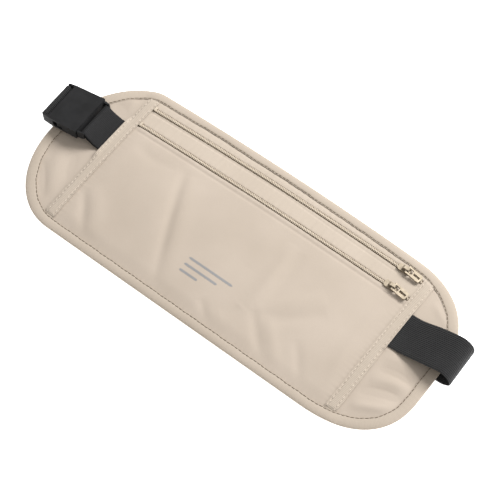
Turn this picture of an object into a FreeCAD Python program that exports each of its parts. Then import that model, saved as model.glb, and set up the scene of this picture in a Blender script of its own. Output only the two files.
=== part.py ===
"""Money belt: a flat fabric pouch with two zipped pockets, worn on an elastic waist strap
that closes with a side-release buckle.

Frame: +X along the pouch towards the end where the strap is sewn on, +Y across it towards
the zips, +Z up. The origin is the middle of the bounding box, on the surface it rests on.
The pouch lies as a shallow arch over the strap, so its layers are concentric shells.
"""
import FreeCAD, Part
import math
import os

import Sketcher

os.makedirs("parts", exist_ok=True)

SIZES = {
    # pouch outline
    "pouch_length": 280.0,
    "half_width": 58.45,
    "top_bow": 4.5,
    "corner_radius": 43.0,
    "pouch_centre_x": 0.8,
    "arch_rise": 3.0,
    "binding_width": 6.2,
    # side bands sewn over the ends of the pockets
    "band_width": 7.4,
    "band_left_x": -102.5,
    "band_right_x": 103.3,
    # zips
    "zip_middle_x": -1.2,
    "zip_tilt": 0.7,
    "upper_zip_y": 44.85,
    "lower_zip_y": 30.75,
    "coil_half_length": 97.2,
    "tape_half_length": 102.0,
    "zip_seam": 0.4,
    "coil_width": 1.1,
    "tape_width": 2.9,
    "fabric_gap": 3.0,
    "stop_x": 96.4,
    "stop_length": 1.5,
    "stop_height": 0.5,
    "stop_clearance": 0.26,
    # zip slider and pull
    "slider_x": 87.4,
    "slider_length": 8.4,
    "slider_half_width": 2.3,
    "hinge_forward": 2.0,
    "hinge_height": 4.75,
    "pull_length": 10.2,
    "pull_width": 5.2,
    "pull_thickness": 1.0,
    "pull_bar_radius": 0.6,
    "pull_eye_length": 3.9,
    "pull_eye_width": 3.2,
    "pull_slot_length": 4.6,
    "pull_slot_width": 1.5,
    "pull_pitch": 4.0,
    "pull_yaw": -7.0,
    # strap
    "strap_width": 25.0,
    "strap_thickness": 0.8,
    "strap_y": 10.9,
    "strap_skew": 0.5,
    "strap_start_x": 107.4,
    "strap_rise_angle": 20.0,
    "strap_rise_length": 24.56,
    "strap_rise_radius": 22.0,
    "strap_end_x": -138.0,
    "return_end_x": 50.8,
    # buckle
    "tab_y": 11.6,
    "tab_width": 24.2,
    "buckle_x": -124.76,
    "buckle_z": 11.3,
    "buckle_pitch": 8.0,
    "buckle_yaw": 3.5,
    "socket_length": 23.6,
    "mouth_x": 3.4,
    "socket_width": 30.0,
    "socket_thickness": 6.3,
    "cavity_depth": 17.0,
    "cavity_half_width": 12.0,
    "cavity_half_height": 2.05,
    "bar_radius": 1.1,
    "bar_inset": 22.4,
    "bar_lift": 0.9,
    "slot_inset": 18.8,
    "male_bar_x": 7.1,
    "male_bar_radius": 1.0,
    "male_slot_half": 12.6,
    "prong_root_x": 1.6,
    "prong_offset": 9.4,
    "prong_root_radius": 1.6,
    # strap adjuster
    "adjuster_x": 58.8,
    "adjuster_length": 14.0,
    "adjuster_width": 31.0,
    "adjuster_thickness": 1.4,
    "adjuster_bar_thickness": 0.5,
    "adjuster_base_z": 1.0,
}

# Layers of the pouch, as heights above the underside of the arch: (lowest, highest).
LAYERS = {
    "back_panel": (0.35, 0.6),
    "pocket_divider": (0.7, 0.9),
    "base_panel": (0.95, 1.2),
    "front_fabric": (2.1, 2.4),
    "bands": (2.45, 2.85),
}
BINDING_HEIGHT = 2.1
BINDING_CLOTH = 0.3
PANEL_INSET = 0.6
TAPE_HEIGHTS = (1.85, 2.05)
COIL_HEIGHTS = (2.05, 2.9)

vec = FreeCAD.Vector
doc = FreeCAD.newDocument("MoneyBelt")
sheet = doc.addObject("Spreadsheet::Sheet", "Params")
for row, (name, value) in enumerate(SIZES.items(), start=1):
    sheet.set(f"A{row}", name)
    sheet.set(f"B{row}", str(value))
    sheet.setAlias(f"B{row}", name)
doc.recompute()

ARCH_RADIUS = "(Params.half_width ^ 2 + Params.arch_rise ^ 2) / (2 * Params.arch_rise)"
NODES = []


def size(name):
    """A driving dimension, read from the sheet."""
    return float(sheet.get(name))


def arch_radius():
    return (size("half_width") ** 2 + size("arch_rise") ** 2) / (2 * size("arch_rise"))


def arch_height(y):
    """Height of the pouch's underside above the table, at this distance across."""
    return math.sqrt(arch_radius() ** 2 - y ** 2) - arch_radius() + size("arch_rise")


def node(obj, label):
    """Gives a finished sub-part its label, which is also the name of its file."""
    obj.Label = label
    NODES.append(obj)
    return obj


def new_body(name):
    return doc.addObject("PartDesign::Body", name)


def origin_plane(body, role):
    return next(f for f in body.Origin.OriginFeatures if f.Role == role)


def new_sketch(body, name, role):
    sketch = body.newObject("Sketcher::SketchObject", name)
    sketch.AttachmentSupport = [(origin_plane(body, role), "")]
    sketch.MapMode = "FlatFace"
    return sketch


def evaluate(text):
    """The number that an expression on the sheet stands for."""
    return float(doc.getObject("Params").evalExpression(text.replace("Params.", "")))


def place_point(sketch, index, end, x_text, y_text):
    """Drives one end of a sketch edge by two expressions."""
    for kind, text in (("DistanceX", x_text), ("DistanceY", y_text)):
        number = sketch.addConstraint(Sketcher.Constraint(kind, -1, 1, index, end, evaluate(text)))
        sketch.setExpression(f"Constraints[{number}]", text)


def polygon(sketch, corners):
    """A closed polygon whose corners are pairs of expressions."""
    first = sketch.GeometryCount
    points = [vec(evaluate(x), evaluate(y), 0) for x, y in corners]
    count = len(points)
    for i in range(count):
        sketch.addGeometry(Part.LineSegment(points[i], points[(i + 1) % count]), False)
    for i in range(count):
        sketch.addConstraint(
            Sketcher.Constraint("Coincident", first + i, 2, first + (i + 1) % count, 1))
    for i, (x_text, y_text) in enumerate(corners):
        place_point(sketch, first + i, 1, x_text, y_text)


def rectangle(sketch, x_low, x_high, y_low, y_high):
    polygon(sketch, [(x_low, y_low), (x_high, y_low), (x_high, y_high), (x_low, y_high)])


def circle(sketch, x_text, y_text, radius_text):
    centre = vec(evaluate(x_text), evaluate(y_text), 0)
    number = sketch.addGeometry(Part.Circle(centre, vec(0, 0, 1), evaluate(radius_text)), False)
    place_point(sketch, number, 3, x_text, y_text)
    radius = sketch.addConstraint(Sketcher.Constraint("Radius", number, evaluate(radius_text)))
    sketch.setExpression(f"Constraints[{radius}]", radius_text)


def pad(body, sketch, length_text):
    """Pads a sketch by the same amount to both sides of its plane."""
    feature = body.newObject("PartDesign::Pad", sketch.Name + "_pad")
    feature.Profile = sketch
    feature.SideType = "Symmetric"
    feature.setExpression("Length", length_text)
    return feature


def pocket(body, sketch, length_text):
    """Cuts a sketch out of a body, by the same amount to both sides of its plane."""
    doc.recompute()
    before = body.Shape.Volume
    feature = body.newObject("PartDesign::Pocket", sketch.Name + "_cut")
    feature.Profile = sketch
    feature.SideType = "Symmetric"
    feature.setExpression("Length", length_text)
    doc.recompute()
    if body.Shape.Volume > before - 0.01:
        raise RuntimeError(f"{feature.Name} cuts nothing")
    return feature


def round_upright_edges(body, name, radius_text, wanted):
    """Fillets the upright edges of a body for which wanted(x, y) is true."""
    doc.recompute()
    names = []
    for number, edge in enumerate(body.Shape.Edges, start=1):
        low, high = edge.Vertexes[0].Point, edge.Vertexes[-1].Point
        upright = math.hypot(low.x - high.x, low.y - high.y) < 1e-6 and abs(low.z - high.z) > 1e-6
        if upright and wanted(low.x, low.y):
            names.append(f"Edge{number}")
    rounded = body.Tip
    feature = body.newObject("PartDesign::Fillet", name)
    feature.Base = (rounded, names)
    feature.setExpression("Radius", radius_text)
    doc.recompute()
    return feature


# ---------------------------------------------------------------- pouch fabric

def outline_prism(name, inset):
    """The pouch's outline, moved inwards by inset, as a tall prism with rounded corners."""
    body = new_body(name)
    sketch = new_sketch(body, name + "_outline", "XY_Plane")
    right = f"Params.pouch_length / 2 - {inset}"
    left = f"{inset} - Params.pouch_length / 2"
    low = f"{inset} - Params.half_width"
    shoulder = f"Params.half_width - Params.top_bow - {inset}"
    half, bow = size("pouch_length") / 2 - inset, size("top_bow")
    y_low, y_high = evaluate(low), evaluate(shoulder)
    corners = [vec(-half, y_high, 0), vec(-half, y_low, 0), vec(half, y_low, 0), vec(half, y_high, 0)]
    for start, end in zip(corners, corners[1:]):
        sketch.addGeometry(Part.LineSegment(start, end), False)
    sketch.addGeometry(Part.Arc(corners[3], vec(0, y_high + bow, 0), corners[0]), False)
    sketch.addConstraint(Sketcher.Constraint("Coincident", 0, 2, 1, 1))
    sketch.addConstraint(Sketcher.Constraint("Coincident", 1, 2, 2, 1))
    sketch.addConstraint(Sketcher.Constraint("Coincident", 2, 2, 3, 1))
    sketch.addConstraint(Sketcher.Constraint("Coincident", 3, 2, 0, 1))
    place_point(sketch, 0, 1, left, shoulder)
    place_point(sketch, 1, 1, left, low)
    place_point(sketch, 2, 1, right, low)
    place_point(sketch, 2, 2, right, shoulder)
    radius_text = f"((Params.pouch_length / 2 - {inset}) ^ 2 + Params.top_bow ^ 2) / (2 * Params.top_bow)"
    bow_radius = sketch.addConstraint(Sketcher.Constraint("Radius", 3, evaluate(radius_text)))
    sketch.setExpression(f"Constraints[{bow_radius}]", radius_text)
    pad(body, sketch, "40")
    round_upright_edges(body, name + "_corners", f"Params.corner_radius - {inset}", lambda x, y: True)
    body.setExpression("Placement.Base.x", "Params.pouch_centre_x")
    return body


def arch_shell(name, low, high):
    """A shell between two heights above the arch's underside, longer than the pouch."""
    drums = []
    for suffix, height in (("_outer", high), ("_inner", low)):
        drum = doc.addObject("Part::Cylinder", name + suffix)
        drum.setExpression("Radius", f"{ARCH_RADIUS} + {height}")
        drum.setExpression("Height", "Params.pouch_length * 1.2")
        drum.Placement = FreeCAD.Placement(vec(0, 0, 0), FreeCAD.Rotation(vec(0, 1, 0), 90))
        drum.setExpression("Placement.Base.x", "-Params.pouch_length * 0.6")
        drum.setExpression("Placement.Base.z", f"Params.arch_rise - {ARCH_RADIUS}")
        drums.append(drum)
    shell = doc.addObject("Part::Cut", name)
    shell.Base, shell.Tool = drums
    return shell


def common(name, shapes):
    result = doc.addObject("Part::MultiCommon", name)
    result.Shapes = shapes
    return result


def cutter_box(name, x_low, x_high, y_low, y_high, turn=0.0):
    """A tall box between the given expressions, turned about the origin in plan."""
    box = doc.addObject("Part::Box", name)
    box.setExpression("Length", f"({x_high}) - ({x_low})")
    box.setExpression("Width", f"({y_high}) - ({y_low})")
    box.Height = 40
    spin = FreeCAD.Rotation(vec(0, 0, 1), turn)
    corner = spin.multVec(vec(evaluate(x_low), evaluate(y_low), -20))
    box.Placement = FreeCAD.Placement(corner, spin)
    return box


def build_inner_panels():
    for name in ("back_panel", "pocket_divider", "base_panel"):
        layer = arch_shell(name + "_layer", *LAYERS[name])
        outline = outline_prism(name + "_prism", PANEL_INSET)
        node(common(name + "_cloth", [layer, outline]), name)


def build_binding():
    """Folded tape round the edge: a U in section, open towards the middle."""
    outer = common("binding_blank", [
        arch_shell("binding_layer", 0, BINDING_HEIGHT),
        outline_prism("binding_prism", 0),
    ])
    groove = common("binding_groove", [
        arch_shell("groove_layer", BINDING_CLOTH, BINDING_HEIGHT - BINDING_CLOTH),
        outline_prism("groove_prism", PANEL_INSET - 0.1),
    ])
    ring = doc.addObject("Part::Cut", "binding_ring")
    ring.Base = outer
    ring.Tool = outline_prism("binding_middle", size("binding_width"))
    tape = doc.addObject("Part::Cut", "binding_tape")
    tape.Base, tape.Tool = ring, groove
    node(tape, "edge_binding")


def build_front():
    """Three strips of front fabric with the two zips between them, and the two side bands."""
    inside = size("binding_width") + 0.1
    across = {
        "front_panel": ("-Params.half_width", "Params.lower_zip_y - Params.fabric_gap"),
        "middle_strip": ("Params.lower_zip_y + Params.fabric_gap",
                         "Params.upper_zip_y - Params.fabric_gap"),
        "top_strip": ("Params.upper_zip_y + Params.fabric_gap", "Params.half_width + 5"),
    }
    for name, (y_low, y_high) in across.items():
        turn = size("zip_tilt")
        strip = cutter_box(name + "_span", "Params.band_left_x", "Params.band_right_x",
                           y_low, y_high, turn)
        node(common(name + "_cloth", [
            arch_shell(name + "_layer", *LAYERS["front_fabric"]),
            outline_prism(name + "_prism", inside),
            strip,
        ]), name)
    for side in ("left", "right"):
        middle = f"Params.band_{side}_x"
        span = cutter_box(side + "_band_span",
                          f"{middle} - Params.band_width / 2", f"{middle} + Params.band_width / 2",
                          "-Params.half_width", "Params.half_width")
        node(common(side + "_band_cloth", [
            arch_shell(side + "_band_layer", *LAYERS["bands"]),
            outline_prism(side + "_band_prism", inside),
            span,
        ]), side + "_band")


# ---------------------------------------------------------------- zips

def zip_placement(which, along=0.0, height=0.0, spin=0.0, pitch=0.0):
    """A place on a zip: along it, above the arch's underside, turned in plan and pitched."""
    y = size(which + "_zip_y")
    slope = math.degrees(math.asin(y / arch_radius()))
    lie = FreeCAD.Rotation(vec(1, 0, 0), -slope) * FreeCAD.Rotation(vec(0, 0, 1), size("zip_tilt"))
    middle = vec(size("zip_middle_x"), y, arch_height(y))
    base = middle + lie.multVec(vec(along, 0, height))
    turn = FreeCAD.Rotation(vec(0, 0, 1), spin) * FreeCAD.Rotation(vec(0, 1, 0), pitch)
    return FreeCAD.Placement(base, lie * turn)


def zip_strip(which, label, side, width_text, half_length_text, heights):
    """One half of the tape or of the coil, on one side of the seam."""
    body = new_body(label + "_body")
    sketch = new_sketch(body, label + "_section", "YZ_Plane")
    near, far = f"{side} * Params.zip_seam", f"{side} * (Params.zip_seam + {width_text})"
    low, high = (near, far) if side > 0 else (far, near)
    rectangle(sketch, low, high, str(heights[0]), str(heights[1]))
    pad(body, sketch, f"2 * {half_length_text}")
    body.Placement = zip_placement(which)
    node(body, label)


def build_stops(which):
    """The two clamped stops that end a zip's run, one just inside each side band."""
    body = new_body(which + "_stop_body")
    sketch = new_sketch(body, which + "_stop_plan", "XY_Plane")
    half = "(Params.zip_seam + Params.coil_width)"
    rectangle(sketch, "-Params.stop_length / 2", "Params.stop_length / 2", f"-{half}", half)
    pad(body, sketch, "Params.stop_height")
    above_coil = COIL_HEIGHTS[1] + size("stop_clearance")
    body.Placement = zip_placement(which, size("stop_x"), above_coil)
    far = doc.addObject("Part::Feature", which + "_stop_far")
    doc.recompute()
    far.Shape = body.Shape.copy()
    far.Placement = zip_placement(which, -size("stop_x"), above_coil)
    pair = doc.addObject("Part::Compound", which + "_stop_pair")
    pair.Links = [body, far]
    node(pair, which + "_zip_stops")


def build_slider(which):
    """Cast slider: two plates joined by a wedge between the coils, side flanges and a crown."""
    name = which + "_slider"
    parts = []
    half_length, half_width = "Params.slider_length / 2", "Params.slider_half_width"

    def plan_block(suffix, x_low, x_high, y_half, z_low, z_high, corner=None):
        body = new_body(f"{name}_{suffix}")
        sketch = new_sketch(body, f"{name}_{suffix}_plan", "XY_Plane")
        rectangle(sketch, x_low, x_high, f"-({y_half})", y_half)
        pad(body, sketch, str(z_high - z_low))
        if corner:
            round_upright_edges(body, f"{name}_{suffix}_round", corner, lambda x, y: True)
        body.Placement = FreeCAD.Placement(vec(0, 0, (z_low + z_high) / 2), FreeCAD.Rotation())
        parts.append(body)

    plan_block("top", f"-{half_length}", half_length, half_width, 3.1, 3.7, "1.6")
    plan_block("bottom", f"-{half_length} + 0.4", f"{half_length} - 0.4",
               f"{half_width} - 0.1", 1.35, 1.7, "1.4")
    plan_block("wedge", "0.8", f"{half_length} - 0.6", "Params.zip_seam - 0.12", 1.6, 3.2)

    for suffix, side in (("flange_low", -1), ("flange_high", 1)):
        body = new_body(f"{name}_{suffix}")
        sketch = new_sketch(body, f"{name}_{suffix}_plan", "XY_Plane")
        edges = sorted([f"{side} * {half_width}", f"{side} * ({half_width} - 0.5)"], key=evaluate)
        rectangle(sketch, f"-{half_length} + 1.6", f"{half_length} - 1.6", *edges)
        pad(body, sketch, "0.75")
        body.Placement = FreeCAD.Placement(vec(0, 0, 2.8), FreeCAD.Rotation())
        parts.append(body)

    crown = new_body(name + "_crown")
    sketch = new_sketch(crown, name + "_crown_side", "XZ_Plane")
    polygon(sketch, [("-1.2", "3.6"), ("3.45", "3.6"), ("3.45", "5.5"), ("2.9", "6.1"),
                     ("-0.2", "6.1"), ("-1.2", "5.1")])
    pad(crown, sketch, "2.3")
    hole = new_sketch(crown, name + "_crown_hole", "XZ_Plane")
    hinge = "Params.hinge_forward"
    rectangle(hole, f"{hinge} - 1.2", f"{hinge} + 0.8", "Params.hinge_height - 0.8",
              "Params.hinge_height + 0.66")
    pocket(crown, hole, "4")
    parts.append(crown)

    whole = doc.addObject("Part::MultiFuse", name + "_casting")
    whole.Shapes = parts
    whole.Placement = zip_placement(which, size("slider_x"))
    node(whole, which + "_zip_slider")


def build_pull(which):
    """Pull tab: a slotted plate with an eye round the crown and a round bar in the crown."""
    name = which + "_pull"
    body = new_body(name)
    plan = new_sketch(body, name + "_plan", "XY_Plane")
    half = "Params.pull_width / 2"
    rectangle(plan, "0", "Params.pull_length", f"-{half}", half)
    pad(body, plan, "Params.pull_thickness")
    eye = new_sketch(body, name + "_eye", "XY_Plane")
    rectangle(eye, "-1", "Params.pull_eye_length", "-Params.pull_eye_width / 2",
              "Params.pull_eye_width / 2")
    pocket(body, eye, "4")
    slot = new_sketch(body, name + "_slot", "XY_Plane")
    start = "Params.pull_length - 1.0 - Params.pull_slot_length"
    rectangle(slot, start, "Params.pull_length - 1.0", "-Params.pull_slot_width / 2",
              "Params.pull_slot_width / 2")
    pocket(body, slot, "4")
    tip, side = size("pull_length"), size("pull_width") / 2
    round_upright_edges(body, name + "_tip", "1.3",
                        lambda x, y: abs(x - tip) < 0.01 and abs(abs(y) - side) < 0.01)
    bar = new_sketch(body, name + "_bar", "XZ_Plane")
    circle(bar, "0", "0", "Params.pull_bar_radius")
    pad(body, bar, "Params.pull_width - 0.02")
    body.Placement = zip_placement(which, size("slider_x") + size("hinge_forward"),
                                   size("hinge_height"), size("pull_yaw"), size("pull_pitch"))
    node(body, which + "_zip_pull")


def build_zip(which):
    for side_name, side in (("bottom", -1), ("top", 1)):
        zip_strip(which, f"{which}_zip_tape_{side_name}", side,
                  "Params.tape_width", "Params.tape_half_length", TAPE_HEIGHTS)
        zip_strip(which, f"{which}_zip_coil_{side_name}", side,
                  "Params.coil_width", "Params.coil_half_length", COIL_HEIGHTS)
    build_stops(which)
    build_slider(which)
    build_pull(which)


# ---------------------------------------------------------------- buckle

def buckle_placement():
    """Local +X points out of the socket's mouth and tips up a little.

    The buckle is turned a little in plan, with the socket's bar centred on the strap.
    """
    yaw = size("buckle_yaw")
    back = size("bar_inset") * math.cos(math.radians(size("buckle_pitch")))
    bar_y = size("strap_y") + (size("buckle_x") - back) * math.tan(math.radians(size("strap_skew")))
    base_y = bar_y + back * math.sin(math.radians(yaw))
    turn = FreeCAD.Rotation(vec(0, 0, 1), yaw) * FreeCAD.Rotation(vec(0, 1, 0), -size("buckle_pitch"))
    return FreeCAD.Placement(vec(size("buckle_x"), base_y, size("buckle_z")), turn)


def build_socket():
    """Female half: a flat sleeve with a side window for each prong and a bar for the strap."""
    body = new_body("socket_body")
    plan = new_sketch(body, "socket_plan", "XY_Plane")
    half, length = "Params.socket_width / 2", "Params.socket_length"
    polygon(plan, [(f"-{length}", f"-{half} + 1.2"), (f"-{length} + 6", f"-{half} + 0.5"),
                   ("Params.mouth_x", f"-{half}"), ("Params.mouth_x", half),
                   (f"-{length} + 6", f"{half} - 0.5"), (f"-{length}", f"{half} - 1.2")])
    pad(body, plan, "Params.socket_thickness")
    far = -size("socket_length")
    round_upright_edges(body, "socket_corners", "1.6", lambda x, y: abs(x - far) < 0.01)

    cavity = new_sketch(body, "socket_cavity", "XY_Plane")
    rectangle(cavity, "-Params.cavity_depth", "Params.mouth_x + 2", "-Params.cavity_half_width",
              "Params.cavity_half_width")
    pocket(body, cavity, "2 * Params.cavity_half_height")
    windows = new_sketch(body, "socket_windows", "XY_Plane")
    for side in (-1, 1):
        edges = sorted([f"{side} * (Params.cavity_half_width - 1)", f"{side} * ({half} + 2)"],
                       key=evaluate)
        rectangle(windows, "-14.6", "-7.4", *edges)
    pocket(body, windows, "2 * Params.cavity_half_height")
    slot = new_sketch(body, "socket_slot", "XY_Plane")
    rectangle(slot, "Params.bar_radius - Params.bar_inset", "-Params.slot_inset",
              "-Params.strap_width / 2 - 0.4", "Params.strap_width / 2 + 0.4")
    pocket(body, slot, "20")
    relief = new_sketch(body, "socket_bar_relief", "XY_Plane")
    rectangle(relief, f"-{length} - 5", "-Params.bar_inset + Params.bar_radius + 0.01",
              "-Params.strap_width / 2 - 0.4", "Params.strap_width / 2 + 0.4")
    pocket(body, relief, "20")
    bar = new_sketch(body, "socket_bar", "XZ_Plane")
    circle(bar, "-Params.bar_inset", "Params.bar_lift", "Params.bar_radius")
    pad(body, bar, "Params.strap_width + 1.4")
    body.Placement = buckle_placement()
    node(body, "buckle_socket")


def build_male():
    """Male half: a base with a bar for the webbing and a guide tongue down the middle."""
    body = new_body("male_body")
    plan = new_sketch(body, "male_plan", "XY_Plane")
    polygon(plan, [("Params.mouth_x + 0.3", "-14"), ("5.6", "-14"), ("8.2", "-13.3"), ("8.2", "13.3"),
                   ("5.6", "14"), ("Params.mouth_x + 0.3", "14")])
    pad(body, plan, "5.2")
    neck = new_sketch(body, "male_neck", "XY_Plane")
    rectangle(neck, "0.8", "Params.mouth_x + 0.6", "0.2 - Params.cavity_half_width",
              "Params.cavity_half_width - 0.2")
    pad(body, neck, "2 * Params.cavity_half_height - 0.2")
    tongue = new_sketch(body, "male_tongue", "XY_Plane")
    rectangle(tongue, "-15.5", "1.2", "-1.9", "1.9")
    pad(body, tongue, "2.4")
    slot = new_sketch(body, "male_slot", "XY_Plane")
    rectangle(slot, "4.0", "9.5", "-Params.male_slot_half", "Params.male_slot_half")
    doc.recompute()
    pocket(body, slot, "10")
    bar = new_sketch(body, "male_bar", "XZ_Plane")
    circle(bar, "Params.male_bar_x", "0", "Params.male_bar_radius")
    pad(body, bar, "2 * Params.male_slot_half + 0.8")
    seats = new_sketch(body, "male_seats", "XY_Plane")
    for side in (-1, 1):
        circle(seats, "Params.prong_root_x", f"{side} * Params.prong_offset",
               "Params.prong_root_radius + 0.06")
    pocket(body, seats, "2 * Params.cavity_half_height")
    mouths = new_sketch(body, "male_seat_mouths", "XY_Plane")
    for side in (-1, 1):
        edges = sorted([f"{side} * (Params.prong_offset - 2.4)",
                        f"{side} * (Params.prong_offset + 1.8)"], key=evaluate)
        rectangle(mouths, "0", "Params.prong_root_x - 0.2", *edges)
    pocket(body, mouths, "2 * Params.cavity_half_height")
    body.Placement = buckle_placement()
    node(body, "buckle_male_base")


def build_prong(label, side):
    """A springy arm with a round root in the base and a latch head in the socket's window."""
    body = new_body(label + "_body")
    arm = new_sketch(body, label + "_plan", "XY_Plane")
    offset = "Params.prong_offset"
    corners = [("Params.prong_root_x", f"{offset} - 1.3"), ("Params.prong_root_x", f"{offset} + 1.3"),
               ("-7.8", f"{offset} + 1.7"), ("-7.8", f"{offset} + 4.7"),
               ("-11.8", f"{offset} + 4.9"), ("-13.8", f"{offset} + 2.3"),
               ("-16.6", f"{offset} + 1.4"), ("-16.6", f"{offset} - 0.6"),
               ("-8.0", f"{offset} - 1.1")]
    polygon(arm, [(x, f"{side} * ({y})") for x, y in corners])
    pad(body, arm, "3.4")
    root = new_sketch(body, label + "_root", "XY_Plane")
    circle(root, "Params.prong_root_x", f"{side} * {offset}", "Params.prong_root_radius")
    pad(body, root, "3.4")
    body.Placement = buckle_placement()
    node(body, label)


# ---------------------------------------------------------------- webbing and strap

def tangent_point(point, centre, radius, side):
    """Where the line from a point touches a circle, on the chosen side (+1 or -1)."""
    gap = centre - point
    reach = math.sqrt(gap.Length ** 2 - radius ** 2)
    turn = math.atan2(gap.z, gap.x) + side * math.asin(radius / gap.Length)
    return point + vec(reach * math.cos(turn), 0, reach * math.sin(turn))


def eye_profile(lower, upper, centre, radius):
    """Side view of webbing sewn flat at one end and open as an eye round a bar at the other.

    lower and upper are the two edges' points, from the flat end to the eye.
    """
    low_touch = tangent_point(lower[-1], centre, radius, 1)
    high_touch = tangent_point(upper[-1], centre, radius, -1)
    crown = centre + (centre - (lower[-1] + upper[-1]) / 2).normalize() * radius
    edges = [Part.makeLine(a, b) for a, b in zip(lower, lower[1:])]
    edges.append(Part.makeLine(lower[-1], low_touch))
    edges.append(Part.Arc(low_touch, crown, high_touch).toShape())
    edges.append(Part.makeLine(high_touch, upper[-1]))
    edges += [Part.makeLine(b, a) for a, b in reversed(list(zip(upper, upper[1:])))]
    edges.append(Part.makeLine(upper[0], lower[0]))
    return Part.Face(Part.Wire(Part.__sortEdges__(edges)))


def extrude_strap(face, width_name="strap_width", middle_name="strap_y"):
    """Extrudes a side view to a strap's width, centred on the strap's line."""
    width = size(width_name)
    solid = face.extrude(vec(0, width, 0))
    solid.translate(vec(0, size(middle_name) - width / 2, 0))
    return solid


def askew(shape):
    """Turns a strap a little in plan, since the buckle sits nearer the pouch's lower edge."""
    shape.rotate(vec(0, size("strap_y"), 0), vec(0, 0, 1), size("strap_skew"))
    return shape


def bar_hole(x, z, radius):
    """A hole along one of the buckle's bars, which lie a little askew to the straps."""
    length = 2 * size("socket_width")
    place = buckle_placement()
    along = place.Rotation.multVec(vec(0, 1, 0))
    return Part.makeCylinder(radius, length, place.multVec(vec(x, -length / 2, z)), along)


def shape_node(label, shape):
    feature = doc.addObject("Part::Feature", label + "_solid")
    feature.Shape = shape
    node(feature, label)


def in_buckle(x, z=0.0):
    """A point in the middle of the buckle, as seen from the side."""
    point = buckle_placement().multVec(vec(x, 0, z))
    return vec(point.x, 0, point.z)


def build_tab():
    """Short webbing tab, doubled and sewn, from the left band to the male half's bar."""
    start = size("band_left_x") - size("band_width") / 2 - 0.3
    seat = size("arch_rise") + LAYERS["base_panel"][1] + 0.12
    lower = [vec(start, 0, seat), vec(start - 1.5, 0, seat)]
    upper = [vec(start, 0, seat + 1.9), vec(start - 1.5, 0, seat + 1.9)]
    bar_x, bar_radius = size("male_bar_x"), size("male_bar_radius")
    face = eye_profile(lower, upper, in_buckle(bar_x), bar_radius + 1.0)
    solid = extrude_strap(face, "tab_width", "tab_y")
    shape_node("buckle_tab", solid.cut(bar_hole(bar_x, 0, bar_radius + 0.1)))


def strap_profile(pieces, start, heading):
    """Side view of a strap that follows straight runs and arcs, as (kind, values) pieces."""
    half = size("strap_thickness") / 2
    left_edges, right_edges = [], []
    point, angle = start, heading

    def beside(at, direction, offset):
        return at + vec(-math.sin(direction) * offset, 0, math.cos(direction) * offset)

    first = beside(point, angle, half), beside(point, angle, -half)
    for kind, *values in pieces:
        if kind == "line":
            target, end_angle = point + vec(math.cos(angle), 0, math.sin(angle)) * values[0], angle
        else:
            radius, turn = values[0], math.radians(values[1])
            side = 1 if turn > 0 else -1
            hub = beside(point, angle, side * radius)
            end_angle = angle + turn
            target = beside(hub, end_angle, -side * radius)
            middle = beside(hub, angle + turn / 2, -side * radius)
        for edges, offset in ((left_edges, half), (right_edges, -half)):
            a, b = beside(point, angle, offset), beside(target, end_angle, offset)
            if kind == "line":
                edges.append(Part.makeLine(a, b))
            else:
                edges.append(Part.Arc(a, beside(middle, angle + turn / 2, offset), b).toShape())
        point, angle = target, end_angle
    last = beside(point, angle, half), beside(point, angle, -half)
    edges = left_edges + right_edges + [Part.makeLine(*first), Part.makeLine(*last)]
    return Part.Face(Part.Wire(Part.__sortEdges__(edges)))


def build_strap():
    """Elastic strap: sewn at the right band, round the pouch's end and back beneath it."""
    half = size("strap_thickness") / 2
    start = vec(size("strap_start_x"), 0,
                size("arch_rise") + LAYERS["base_panel"][1] + 0.12 + half)
    rise, length = math.radians(size("strap_rise_angle")), size("strap_rise_length")
    bend = size("strap_rise_radius")
    top = start.z + bend * (1 - math.cos(rise)) + length * math.sin(rise)
    end_radius = (top - half) / (1 + math.cos(rise))
    run_start = (start.x + 1 + bend * math.sin(rise) + length * math.cos(rise)
                 + end_radius * math.sin(rise))
    face = strap_profile([
        ("line", 1.0),
        ("arc", bend, size("strap_rise_angle")),
        ("line", length),
        ("arc", end_radius, -180 - size("strap_rise_angle")),
        ("line", run_start - size("strap_end_x")),
    ], start, 0.0)
    shape_node("elastic_strap", askew(extrude_strap(face)))
    print("strap bends at the end with radius", round(end_radius, 2))


def build_strap_return():
    """The strap's fold round the socket's bar and its second layer, back to the adjuster."""
    thick = size("strap_thickness")
    end = size("strap_end_x") - 0.02
    slot = in_buckle(-size("slot_inset"), -size("socket_thickness") / 2)
    lower = [vec(end, 0, 0.02)]
    upper = [vec(end, 0, 2 * thick + 0.2), vec(slot.x - 1.3, 0, slot.z - 0.5)]
    bar_x, bar_z, bar_radius = -size("bar_inset"), size("bar_lift"), size("bar_radius")
    side_view = eye_profile(lower, upper, in_buckle(bar_x, bar_z), bar_radius + 1.0)
    fold = askew(extrude_strap(side_view))
    fold = fold.cut(bar_hole(bar_x, bar_z, bar_radius + 0.1))
    run = Part.makeBox(size("return_end_x") - end, size("strap_width"), thick,
                       vec(end, size("strap_y") - size("strap_width") / 2, thick + 0.2))
    shape_node("strap_return", fold.fuse(askew(run)).removeSplitter())


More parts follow.
